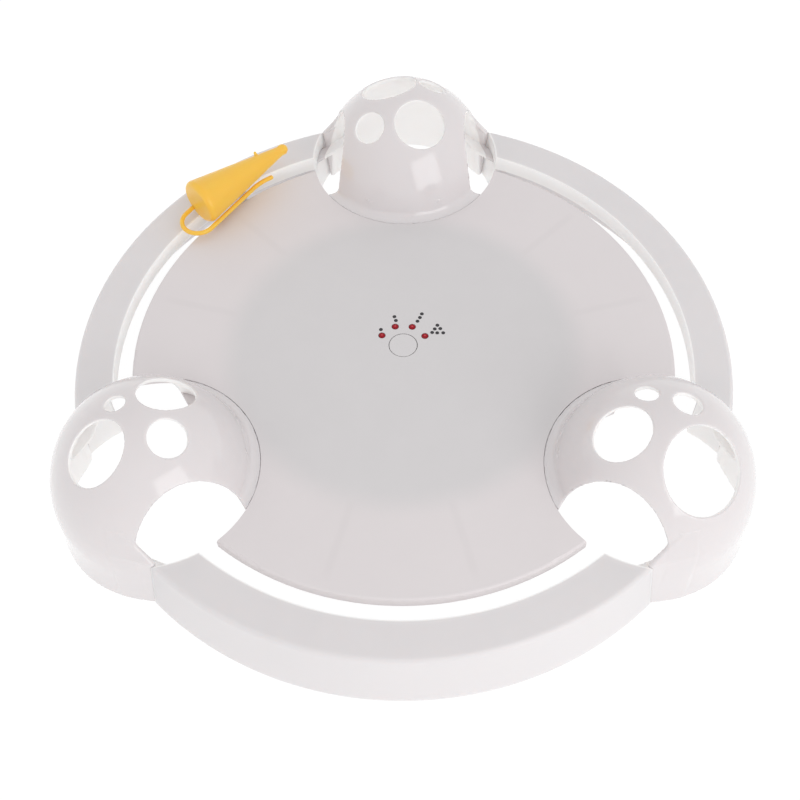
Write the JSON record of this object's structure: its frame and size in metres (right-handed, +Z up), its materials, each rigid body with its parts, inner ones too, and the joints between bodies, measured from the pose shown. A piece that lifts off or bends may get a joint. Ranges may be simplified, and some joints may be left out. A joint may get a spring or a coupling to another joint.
{
  "type": "mouse turntable cat toy",
  "caption": "White floor toy for cats: a round deck inside a segmented ring, bridged by holed domes, with a motor-driven yellow mouse that runs round the open track between them.",
  "frame": {"origin": "where the turning axis meets the floor that the toy rests on", "axes": "+Z is up along the turning axis, +Y runs from the deck centre to the back dome, +X is to the right in the picture"},
  "size_m": [0.299, 0.3141, 0.073],
  "materials": {
    "deck_plastic": "satin moulded",
    "ring_plastic": "satin moulded",
    "dome_plastic": "polished moulded",
    "base_plastic": "fine spark texture",
    "gear_plastic": "natural acetal",
    "yellow_plastic": "satin moulded",
    "button_plastic": "satin moulded",
    "lamp_lens": "clear moulded lens",
    "black_plastic": "moulded",
    "board": "solder resist",
    "cell_sleeve": "shrunk sleeve",
    "steel": "zinc plated",
    "brass": "machined"
  },
  "bodies": {
    "frame_body": {"centre_deck": "deck_plastic", "ring_front": "ring_plastic", "ring_right": "ring_plastic", "ring_left": "ring_plastic", "dome_back": "dome_plastic", "dome_left": "dome_plastic", "dome_right": "dome_plastic", "base_drum": "base_plastic", "battery_cells": "cell_sleeve", "battery_contacts": "steel", "motor_can": "steel", "gear_axles": "steel", "gear_cover": "base_plastic", "cover_screws": "steel", "circuit_board": "board", "control_chip": "black_plastic", "switch_body": "black_plastic", "lamps": "lamp_lens", "board_screws": "steel", "deck_screws": "steel", "dome_screws": "steel", "ring_screws": "steel"},
    "runner": {"turning_ring": "gear_plastic", "carrier_arm": "gear_plastic", "arm_screws": "steel", "mouse_post": "steel", "mouse_body": "yellow_plastic", "mouse_tail": "yellow_plastic"},
    "drive_gear_body": {"drive_gear": "gear_plastic"},
    "first_gear_body": {"first_gear": "gear_plastic"},
    "motor_rotor": {"motor_shaft": "steel", "motor_pinion": "brass"},
    "button": {"push_button": "button_plastic", "switch_plunger": "black_plastic"},
    "door": {"battery_door": "base_plastic", "door_screw": "steel"}
  },
  "joints": [
    {"name": "runner_spin", "type": "hinge", "parent": "frame_body", "child": "runner", "pos_m": [0, 0, 0.008], "axis": [0, 0, 1], "continuous": true},
    {"name": "drive_gear_spin", "type": "hinge", "parent": "frame_body", "child": "drive_gear_body", "pos_m": [0, 0.051, 0.0095], "axis": [0, 0, 1], "continuous": true},
    {"name": "first_gear_spin", "type": "hinge", "parent": "frame_body", "child": "first_gear_body", "pos_m": [-0.01102, 0.04269, 0.017], "axis": [0, 0, 1], "continuous": true},
    {"name": "motor_spin", "type": "hinge", "parent": "frame_body", "child": "motor_rotor", "pos_m": [-0.02652, 0.0348, 0.018], "axis": [0, 0, 1], "continuous": true},
    {"name": "button_press", "type": "slide", "parent": "frame_body", "child": "button", "axis": [0, 0, -1], "range_m": [0, 0.0008], "stiffness_N_per_m": 1500},
    {"name": "door_removal", "type": "slide", "parent": "frame_body", "child": "door", "axis": [0, 0, -1], "range_m": [0, 0.012]}
  ],
  "couplings": [
    {"joint": "drive_gear_spin", "follows": "runner_spin", "ratio": 3.8333},
    {"joint": "first_gear_spin", "follows": "runner_spin", "ratio": -13.8},
    {"joint": "motor_spin", "follows": "runner_spin", "ratio": 66.24}
  ]
}
